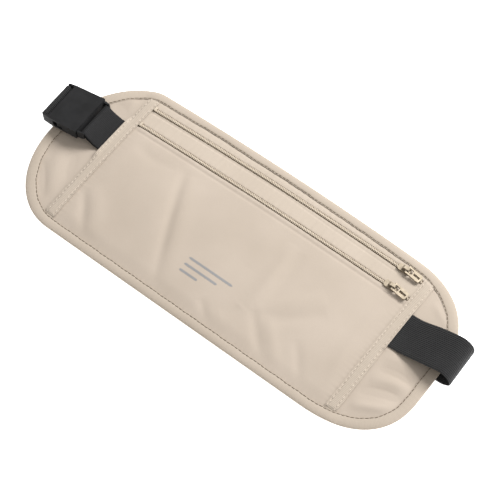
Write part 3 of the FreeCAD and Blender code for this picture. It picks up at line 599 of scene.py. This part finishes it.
def build_pouch():
    ends = HALF_LENGTH - 0.8
    full = CENTRE_X + ends * np.sin(np.linspace(-math.pi / 2, math.pi / 2, 300))

    def low(x):
        return edge_y(x, -1, 0.8)

    def high(x):
        return edge_y(x, 1, 0.8)

    back = cloth_panel("back_cloth", full[::3], low, high, 50,
                       lambda X, Y: 0.55 + 0.3 * swell(X, Y, 0.3), 0.22, FABRIC,
                       replaced=["back_panel"], slot="pouch_fabric")
    divider = cloth_panel("divider_cloth", full[::3], low, high, 50,
                          lambda X, Y: 0.85 + 0.2 * swell(X, Y, 0.3), 0.15, LINING,
                          replaced=["pocket_divider"], slot="lining")
    base = cloth_panel("end_cloth", full, low, high, 130, base_height, 0.22, FABRIC,
                       replaced=["base_panel"], slot="pouch_fabric")

    between = np.arange(BAND_X["left"] + 0.2, BAND_X["right"], 0.75)
    front = cloth_panel("front_cloth", between, lambda x: edge_y(x, -1, 0) + 3.0,
                        lambda x: zip_y("lower", x) - GAP, 120, front_height, 0.28, FABRIC,
                        replaced=["front_panel"], slot="pouch_fabric")
    fine = np.arange(BAND_X["left"] + 0.2, BAND_X["right"], 0.6)
    # both strips use the lighter copy of the nylon, which paints the extra light on them
    middle = cloth_panel("middle_cloth", fine, lambda x: zip_y("lower", x) + FLAP,
                         lambda x: zip_y("upper", x) - GAP, 26,
                         strip_height("lower", "upper", 21), 0.28, FABRIC_LIT_COPY,
                         replaced=["middle_strip"], slot="pouch_fabric")
    top = cloth_panel("top_cloth", fine, lambda x: zip_y("upper", x) + FLAP,
                      lambda x: np.maximum(edge_y(x, 1, 0) - 4.5, zip_y("upper", x) + FLAP + 1.2),
                      14, strip_height("upper", None, 31), 0.28, FABRIC_LIT_COPY,
                      replaced=["top_strip"], slot="pouch_fabric")
    return front, middle, top


# ------------------------------------------------------------------ edge tape and bands

BINDING_SEAM = 0.55                 # from the tape's inner border to its row of stitches
OUTER_SEAM, INNER_SEAM = 2.35, -2.55    # a band's rows of stitches, from its middle outwards


def build_binding():
    line, inward, at, total = outline(0.75)
    x = line[:, 0]
    width = binding_width(x)
    width += 0.07 * np.sin(2 * math.pi * at / (total / 131) + 1.3 * np.sin(at / 23))
    width += 0.10 * np.sin(2 * math.pi * at / (total / 47))
    loose = smooth(line[:, 1], 30, 50) * smooth(60 - np.abs(x + 30), 0, 25)
    width -= 0.5 * loose * (0.6 + 0.4 * np.sin(at / 8.5))
    height = lip_height(x)
    gather = 0.03 * np.sin(2 * math.pi * at / (total / 236) + 0.8 * np.sin(at / 11))
    section = []
    for w, h, g in zip(width, height, gather):
        sewn = w - BINDING_SEAM
        section.append([
            (w - 0.3, 0.02), (w * 0.6, 0.0), (1.3, 0.0), (0.5, 0.12), (0.12, 0.45 * h),
            (0.0, 0.62 * h), (0.25, h - 0.35), (0.9, h - 0.02 + g), (w * 0.42, h + 0.12 + g),
            (sewn - 0.8, h + 0.06 + g), (sewn - 0.3, h - 0.10), (sewn, h - 0.30),
            (sewn + 0.22, h - 0.16 - g), (w - 0.15, h - 0.14 - g), (w, h - 0.24),
            (w - 0.05, h - 0.42), (sewn, h - 0.52), (w * 0.42, h - 0.24), (1.2, h - 0.36),
            (0.6, 0.55 * h), (1.2, 0.36), (w * 0.6, 0.30), (w - 0.3, 0.30)])
    section = np.array(section)
    count = section.shape[1]
    x = line[:, None, 0] + inward[:, None, 0] * section[..., 0]
    y = line[:, None, 1] + inward[:, None, 1] * section[..., 0]
    points = np.stack([x, y, arch(y) + section[..., 1]], -1).reshape(-1, 3)
    around = np.concatenate([[0], np.cumsum(np.linalg.norm(np.diff(section[0], axis=0), axis=1))])
    uv = np.stack([np.repeat(at[:, None], count, 1), np.repeat(around[None], len(at), 0)], -1)
    faces = grid_faces(len(at), count, wrap_rows=True, wrap_columns=True)
    binding = make_piece("edge_tape", points, faces, TAPE, "pouch", ["edge_binding"],
                         "binding_tape", uv=uv.reshape(-1, 2), smooth_angle=60)

    seam = line + inward * (width - BINDING_SEAM)[:, None]
    places = np.stack([seam[:, 0], seam[:, 1], arch(seam[:, 1]) + height - 0.17], 1)
    places = np.concatenate([places, places[:1]])
    # the dark thread of these stitches also paints the shadow line along the tape's inner border
    threads("edge_stitches", [stitch_run(places, 2.7)], 2.4, 0.23, THREAD_AND_PAINTED_SHADE)


def strap_under(Y, reach):
    """1 where the strap's width lies beneath, easing off beside it."""
    return smooth(STRAP_HALF + 0.6 + reach - np.abs(Y - STRAP_Y - 0.6), 0, reach)


def build_bands():
    trimmings = []
    for side, outward in (("left", -1), ("right", 1)):
        middle = BAND_X[side]
        raised, reach = (0.95, 7.0) if side == "left" else (0.35, 4.0)

        def height(X, Y, outward=outward, middle=middle, raised=raised, reach=reach):
            out = (X - middle) * outward
            over_strap = strap_under(Y, reach)
            drop = 0.65 * (1 - over_strap) * smooth(out, 1.6, 3.6)
            result = 2.80 - drop + raised * over_strap * smooth(out, 0.8, 3.2)
            result -= 0.30 * np.exp(-np.square((out - OUTER_SEAM) / 0.4))
            result -= 0.30 * np.exp(-np.square((out - INNER_SEAM) / 0.4))
            result += pucker(Y, np.abs(np.abs(out) - 2.4), 2.9, 0.05, 1.3, 40 + outward)
            return result - 0.85 * smooth(-rim_distance(X, Y), -2.5, 0.3)

        xs = np.linspace(middle - BAND_WIDTH / 2, middle + BAND_WIDTH / 2, 25)
        band = cloth_panel(side + "_band_tape", xs, lambda x: edge_y(x, -1, 0) + 4.6,
                           lambda x: edge_y(x, 1, 0) - 4.6, 180, height, 0.32, BAND_TAPE,
                           replaced=[side + "_band"], slot="binding_tape")
        trimmings.append(band)
        runs = []
        for seam in (OUTER_SEAM, INNER_SEAM):
            y = np.linspace(edge_y(middle, -1, 0) + 6.4, edge_y(middle, 1, 0) - 6.2, 60)
            x = np.full(y.shape, middle + seam * outward)
            runs.append(stitch_run(np.stack([x, y, arch(y) + height(x, y) + 0.03], 1), 2.9))
        trimmings.append(threads(side + "_band_stitches", runs, 2.0, 0.28, PALE_THREAD))
    return trimmings


# ------------------------------------------------------------------ zips

def build_zip(which):
    tapes = []
    for side_name, side in (("bottom", -1), ("top", 1)):
        xs = np.arange(-102.5, 101.5, 1.0)
        near, far = 0.1 * side, 3.1 * side
        low, high = min(near, far), max(near, far)
        # these tapes carry the dark brown that paints the shade in the gaps beside the coil
        tape = cloth_panel(f"{which}_tape_{side_name}", xs, lambda x: zip_y(which, x) + low,
                           lambda x: zip_y(which, x) + high, 5,
                           lambda X, Y: np.full(X.shape, 1.55), 0.18, ZIP_TAPE_PAINTED_SHADE,
                           replaced=[f"{which}_zip_tape_{side_name}"], slot="zip_tape")
        tapes.append(tape)
        build_coil(which, side_name, side)
    build_zip_metal(which)
    return tapes


def build_coil(which, side_name, side):
    """One half of the coil: a row of bent nylon turns, half a pitch off the other half."""
    pitch = 1.15
    ring = 6
    shift = 0 if side > 0 else pitch / 2
    # each turn as (across, height, thickness) from its outer bend to its head at the seam
    bend = ((0.92, 1.95, 0.20), (1.02, 2.2, 0.27), (0.9, 2.46, 0.29), (0.5, 2.56, 0.28),
            (0.10, 2.54, 0.30), (-0.14, 2.36, 0.33), (-0.05, 2.08, 0.24), (0.4, 1.92, 0.20))
    turn = np.arange(ring) * 2 * math.pi / ring
    vertices, faces = [], []
    for x in np.arange(COIL_FROM, COIL_TO, pitch) + shift:
        y = zip_y(which, x)
        first = len(vertices)
        for place, (across, height, thick) in enumerate(bend):
            before = bend[max(place - 1, 0)]
            after = bend[min(place + 1, len(bend) - 1)]
            run = np.array([after[0] - before[0], after[1] - before[1]])
            run /= np.linalg.norm(run)
            for angle in turn:
                lean = thick * math.sin(angle)
                yy = y + side * (across - run[1] * lean)
                vertices.append((x + thick * math.cos(angle) * 1.35, yy,
                                 float(arch(yy)) + height + run[0] * lean))
        faces += tube_faces(len(bend), ring, first, flip=side < 0)
    make_piece(f"{which}_coil_{side_name}", vertices, faces, COIL, "pouch",
               [f"{which}_zip_coil_{side_name}"], "zip_coil", smooth_angle=70)


def apply_modifiers(piece):
    """Makes the modifiers' result the piece's own mesh."""
    graph = bpy.context.evaluated_depsgraph_get()
    finished = bpy.data.meshes.new_from_object(piece.evaluated_get(graph))
    piece.modifiers.clear()
    piece.data = finished


def bevelled(node, name, material, body, width, segments=3, roll=False):
    """A copy of a hard CAD piece with its edges rounded, standing in for the CAD mesh."""
    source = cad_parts[node]
    mesh = source.data.copy()
    mesh.name = name
    if roll:
        centre = Matrix.Translation(Vector((BUCKLE_X, BUCKLE_Y, BUCKLE_Z)) * MM)
        mesh.transform(centre @ Matrix.Rotation(-BUCKLE_ROLL, 4, BUCKLE_AXIS) @ centre.inverted())
    piece = bpy.data.objects.new(name, mesh)
    bpy.context.scene.collection.objects.link(piece)
    work = bmesh.new()
    work.from_mesh(mesh)
    bmesh.ops.remove_doubles(work, verts=work.verts, dist=2e-6)
    bmesh.ops.dissolve_limit(work, angle_limit=math.radians(1.0), verts=work.verts, edges=work.edges)
    for edge in work.edges:
        edge.smooth = True
    work.to_mesh(mesh)
    work.free()
    mesh.materials.clear()
    mesh.materials.append(material)
    rounding = piece.modifiers.new("edges", "BEVEL")
    rounding.width = width * MM
    rounding.segments = segments
    rounding.limit_method = "ANGLE"
    rounding.angle_limit = math.radians(32)
    apply_modifiers(piece)
    piece.data.polygons.foreach_set("use_smooth", [True] * len(piece.data.polygons))
    piece.data.set_sharp_from_angle(angle=math.radians(48))
    flat_faces = piece.modifiers.new("flat faces", "WEIGHTED_NORMAL")
    flat_faces.keep_sharp = True
    apply_modifiers(piece)
    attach(piece, body)
    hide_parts(node)


def build_zip_metal(which):
    bevelled(which + "_zip_slider", which + "_slider_cast", METAL, which + "_slider",
             0.16, 2)
    bevelled(which + "_zip_pull", which + "_pull_tab", METAL, which + "_pull",
             0.18, 2)
    bevelled(which + "_zip_stops", which + "_stop_clamps", COIL, "pouch", 0.08, 2)


# ------------------------------------------------------------------ buckle, tab and strap

def build_buckle():
    for node, name, body, width in (("buckle_socket", "socket_shell", "socket", 0.45),
                                    ("buckle_male_base", "male_shell", "pouch", 0.4),
                                    ("buckle_prong_top", "prong_arm_top", "prong_top", 0.3),
                                    ("buckle_prong_bottom", "prong_arm_bottom", "prong_bottom", 0.3)):
        bevelled(node, name, PLASTIC, body, width, roll=True)
    bevelled("strap_adjuster", "adjuster_frame", PLASTIC, "adjuster", 0.2)


def trace(pieces, start, heading, step):
    """Follows straight runs and arcs in the side view: points (x, z) and their headings.

    Each run is ("line", length) or ("arc", radius, degrees)."""
    point, angle = np.array(start, float), math.radians(heading)
    points, angles = [point], [angle]
    for kind, size, *degrees in pieces:
        if kind == "line":
            count, part = max(1, int(size / step)), 0.0
            chord = size / count
        else:
            turn = math.radians(degrees[0])
            count = max(4, int(abs(turn) * size / min(step, 0.8)), int(abs(turn) / 0.12))
            part = turn / count
            chord = 2 * size * math.sin(abs(part) / 2)
        for _ in range(count):
            angle += part / 2
            point = point + np.array([math.cos(angle), math.sin(angle)]) * chord
            angle += part / 2
            points.append(point)
            angles.append(angle)
    return np.array(points), np.array(angles)


def ribbon(name, points, angles, half_width, half_thickness, material, middle, near, lift=None,
           **about):
    """A flat strap along a path in the side view, with rounded edges, and its length.

    middle gives the y of its centre line at each x, and near how far it follows the buckle's
    bar, which lies askew and rolled.
    """
    across = np.linspace(-1, 1, 15) * (half_width - half_thickness)
    top = [(y, half_thickness) for y in across]
    edge = np.linspace(math.pi / 2, -math.pi / 2, 5)[1:-1]
    right = [(across[-1] + half_thickness * math.cos(a), half_thickness * math.sin(a)) for a in edge]
    bottom = [(y, -half_thickness) for y in across[::-1]]
    left = [(across[0] - half_thickness * math.cos(a), -half_thickness * math.sin(a)) for a in edge]
    section = np.array(top + right + bottom + left)
    centres = np.stack([points[:, 0], middle(points[:, 0]), points[:, 1]], 1)
    ups = np.stack([-np.sin(angles), np.zeros(len(angles)), np.cos(angles)], 1)
    follow = near(points)
    bar = np.array(buckle_vector(0, 1, 0))
    plain = np.array([-STRAP_SKEW, 1.0, 0.0])
    sides = follow[:, None] * bar + (1 - follow[:, None]) * plain
    steps = np.linalg.norm(np.diff(points, axis=0), axis=1)
    along = np.concatenate([[0], np.cumsum(steps)])
    rows, columns = len(centres), len(section)
    swept = centres[:, None] + sides[:, None] * section[:, :1] + ups[:, None] * section[:, 1:]
    if lift is not None:
        swept[..., 2] += lift(swept)
    uv = np.stack([np.repeat(along, columns), np.tile(section[:, 0], rows)], -1)
    piece = make_piece(name, swept.reshape(-1, 3), tube_faces(rows, columns), material, uv=uv,
                       **about)
    return piece, along[-1]


def buckle_vector(x, y, z):
    """A direction in the buckle's own frame, with its roll, as a direction in the model."""
    turn = Matrix.Rotation(BUCKLE_YAW, 3, "Z") @ Matrix.Rotation(-BUCKLE_PITCH, 3, "Y")
    return turn @ Matrix.Rotation(-BUCKLE_ROLL, 3, "X") @ Vector((x, y, z))


def in_buckle(x, z=0.0):
    """A point in the middle of the buckle, in the side view."""
    point = Vector((BUCKLE_X, BUCKLE_Y, BUCKLE_Z)) + buckle_vector(x, 0, z)
    return np.array([point.x, point.z])


def beside_bar(bar, distance, angle):
    """The point at this distance from the bar where a strap heading at this angle touches it."""
    return bar - distance * np.array([math.sin(angle), -math.cos(angle)])


def climb_from(level, bend, angle, place):
    """The straight climb at an angle to a place, after a bend up from a level: its length, and
    where the bend starts."""
    climb = (place[1] - level - bend * (1 + math.cos(angle))) / math.sin(angle)
    return climb, place[0] - climb * math.cos(angle) + bend * math.sin(angle)


def strap_lift(points):
    """The strap's loop beyond the band: its far edge stands a little higher than its near edge,
    and its lower layer clings to the pouch's underside."""
    x, y, z = points[..., 0], points[..., 1], points[..., 2]
    beyond = smooth(x, 108, 132)
    across = (y - STRAP_Y) / STRAP_HALF
    upper = smooth(z, 5, 10)
    lower = smooth(x, 99, 124) * (1 - smooth(z, 1.6, 4.0 + 4.0 * smooth(x, 130, 142)))
    return beyond * upper * 1.1 * (0.7 + across) + lower * 1.7


def build_strap():
    """Elastic strap in one length: over the pouch's end, back beneath it, round the socket's
    bar and back again, then on to the adjuster as a second piece."""
    half = 0.4
    start = (102.8, ARCH_RISE + 1.32 + half)
    level, rise, length, bend, end_bend = 5.6, math.radians(20.0), 24.56, 22.0, 7.24
    arc_start = start[0] + level + bend * math.sin(rise) + length * math.cos(rise)
    turn_x = arc_start + end_bend * math.sin(rise)      # where the end bend meets the table
    bar = in_buckle(*SOCKET_BAR)
    wrap = SOCKET_BAR_RADIUS + 0.12 + half
    lean, steep = math.radians(138), math.radians(-77)
    first_bend = 5.0
    climb, bend_x = climb_from(half, first_bend, lean, beside_bar(bar, wrap, lean))
    wrap_end = beside_bar(bar, wrap, steep)
    second_z, down = 1.5, 2.6
    low_point = wrap_end + down * np.array([math.cos(steep), math.sin(steep)])
    second_bend = (low_point[1] - second_z) / (1 - math.cos(steep))
    stub_end = -20.0
    stub = stub_end - (low_point[0] + second_bend * math.sin(-steep))
    points, angles = trace([
        ("line", level),
        ("arc", bend, math.degrees(rise)),
        ("line", length),
        ("arc", end_bend, -200.0),
        ("line", turn_x - bend_x),
        ("arc", first_bend, -42.0),
        ("line", climb),
        ("arc", wrap, -215.0),
        ("line", down),
        ("arc", second_bend, 77.0),
        ("line", stub),
    ], start, 0.0, 2.0)

    def middle(x):
        return STRAP_Y + STRAP_SKEW * x + 0.5 * smooth(x, 60, 110)

    strap, strap_length = ribbon("elastic_band", points, angles, STRAP_HALF, half, ELASTIC, middle,
                                 lambda p: smooth(-p[:, 0], 132, 143) * smooth(p[:, 1], 2, 6),
                                 lift=strap_lift, body=None,
                                 replaced=["elastic_strap", "strap_return"], slot="elastic")
    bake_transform(strap)
    adjuster_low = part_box("strap_adjuster")[0].x / MM
    points, angles = trace([("line", adjuster_low - 0.15 - stub_end - 0.4)],
                           (stub_end + 0.4, second_z), 0.0, 2.0)
    layer, layer_length = ribbon("elastic_return", points, angles, STRAP_HALF, half, ELASTIC,
                                 middle, lambda p: np.zeros(len(p)), body=None, slot="elastic")
    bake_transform(layer)
    fold_low, fold_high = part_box("strap_end_fold")
    centre = (fold_low + fold_high) / 2 / MM
    loop = [(math.cos(a) * 1.62, math.sin(a) * 0.42) for a in np.linspace(0, 2 * math.pi, 33)[:-1]]
    thick = 0.17
    section = [(x * 1.25, z + math.copysign(thick, z) if abs(z) > 0.01 else z) for x, z in loop]
    vertices, faces = [], []
    for y in (-12.4, 12.4):
        for ring in (section, loop):
            vertices += [(centre.x + x, STRAP_Y + y, centre.z + z) for x, z in ring]
    n = len(loop)
    for i in range(n):
        j = (i + 1) % n
        faces += [(i, j, 2 * n + j, 2 * n + i), (n + j, n + i, 3 * n + i, 3 * n + j),
                  (j, i, n + i, n + j), (2 * n + i, 2 * n + j, 3 * n + j, 3 * n + i)]
    end_fold = make_piece("elastic_end_fold", vertices, faces, ELASTIC, "adjuster",
                          ["strap_end_fold"], "elastic", uv=[(v[0], v[1]) for v in vertices])


def build_tab():
    """Webbing tab: doubled, sewn under the left band and looped round the male half's bar."""
    half = 0.42
    band_edge = BAND_X["left"] - BAND_WIDTH / 2
    bar = in_buckle(*MALE_BAR)
    wrap = MALE_BAR_RADIUS + 0.1 + half
    low_z = ARCH_RISE + 1.3 + half
    high_z = low_z + 2 * half + 0.06
    up_angle = math.radians(180 - 33)
    down_angle = math.radians(180 - 33 - 190)
    bend_low = 3.0
    # lower layer: along the pouch, up to the bar's underside, round it and back above
    climb, bend_x = climb_from(low_z, bend_low, up_angle, beside_bar(bar, wrap, up_angle))
    wrap_end = beside_bar(bar, wrap, down_angle)
    bend_high = 2.2
    fall = -math.degrees(down_angle)
    level = high_z + bend_high * (1 - math.cos(down_angle))
    descend = (wrap_end[1] - level) / math.sin(-down_angle)
    start_x = band_edge + 0.6
    end_x = wrap_end[0] + descend * math.cos(down_angle) + bend_high * math.sin(-down_angle)
    points, angles = trace([
        ("line", start_x - bend_x),
        ("arc", bend_low, -33.0),
        ("line", climb),
        ("arc", wrap, -190.0),
        ("line", descend),
        ("arc", bend_high, fall),
        ("line", max(0.5, start_x - end_x)),
    ], (start_x, low_z), 180.0, 1.2)
    tab, tab_length = ribbon("webbing_tab", points, angles, TAB_HALF, half, WEBBING,
                             lambda x: 12.6 - 1.15 * smooth(-x, 106, 116),
                             lambda p: smooth(-p[:, 0], 108, 116),
                             body="pouch", replaced=["buckle_tab"], slot="webbing")


# ------------------------------------------------------------------ printed mark

def build_print():
    """A plain generic mark: three short bars in grey print."""
    x_low, radius = -18.0, 0.75
    printed = []
    for index, (x_high, y) in enumerate(((14.0, -24.0), (6.0, -28.6), (-5.0, -33.2)), start=1):
        xs = np.linspace(x_low, x_high, 28)
        middle, half = (x_low + x_high) / 2, (x_high - x_low) / 2

        def reach(x):
            over = np.clip((np.abs(x - middle) - (half - radius)) / radius, 0, 0.999)
            return radius * np.sqrt(1 - over ** 2)

        printed.append(cloth_panel(f"print_bar_{index}", xs, lambda x: y - reach(x),
                                   lambda x: y + reach(x), 6,
                                   lambda X, Y: front_height(X, Y) + 0.05, 0.1, PRINT))
    return printed


# ------------------------------------------------------------------ studio

def build_studio():
    floor_mesh = bpy.data.meshes.new("floor")
    size = 6.0
    floor_mesh.from_pydata([(-size, -size, 0), (size, -size, 0), (size, size, 0), (-size, size, 0)],
                           [], [(0, 1, 2, 3)])
    floor = bpy.data.objects.new("floor", floor_mesh)
    bpy.context.scene.collection.objects.link(floor)
    floor.location.z = -0.0003
    shader = Shader("pale_floor")
    tone = shader.noise(shader.place(), 0.004, 2.0)
    shader.set(Base_Color=shader.ramp(tone, [(0.3, (0.90, 0.90, 0.90)), (0.7, (0.92, 0.92, 0.92))]),
               Roughness=0.9, Emission_Color=(1.0, 1.0, 1.0, 1.0), Emission_Strength=1.0)
    floor_mesh.materials.append(shader.material)

    world = bpy.data.worlds.new("studio")
    world.use_nodes = True
    background = world.node_tree.nodes["Background"].inputs
    background["Color"].default_value = (1.0, 0.995, 0.985, 1)
    background["Strength"].default_value = 0.52
    bpy.context.scene.world = world

    lamps = (("key", (0.36, 1.00, 1.10), 0.7, 28.5), ("fill", (1.3, -0.1, 0.9), 0.8, 2.0))
    for name, place, size, power in lamps:
        light = bpy.data.lights.new(name, "AREA")
        light.size = size
        light.energy = power
        lamp = bpy.data.objects.new(name, light)
        lamp.location = place
        lamp.rotation_euler = (-Vector(place)).to_track_quat("-Z", "Y").to_euler()
        bpy.context.scene.collection.objects.link(lamp)


def build_camera():
    # matched to the photo's outline
    azimuth, elevation = math.radians(37.42), math.radians(62.34)
    distance = 1.01255
    target = Vector((0.00627, 0.00273, 0.0013))
    back = Vector((math.sin(azimuth) * math.cos(elevation), -math.cos(azimuth) * math.cos(elevation),
                   math.sin(elevation)))
    camera_data = bpy.data.cameras.new("camera")
    camera_data.lens = 124.08
    camera_data.sensor_width = 36.0
    camera_data.clip_start = 0.05
    camera = bpy.data.objects.new("camera", camera_data)
    camera.location = target + back * distance
    camera.rotation_euler = back.to_track_quat("Z", "Y").to_euler()
    bpy.context.scene.collection.objects.link(camera)
    bpy.context.scene.camera = camera
    bpy.context.scene.view_settings.view_transform = "Standard"


build_camera()
front_cloth, middle_cloth, top_cloth = build_pouch()
build_binding()
band_pieces = build_bands()
upper_tapes = build_zip("upper")
lower_tapes = build_zip("lower")
build_buckle()
build_strap()
build_tab()
print_pieces = build_print()
build_studio()
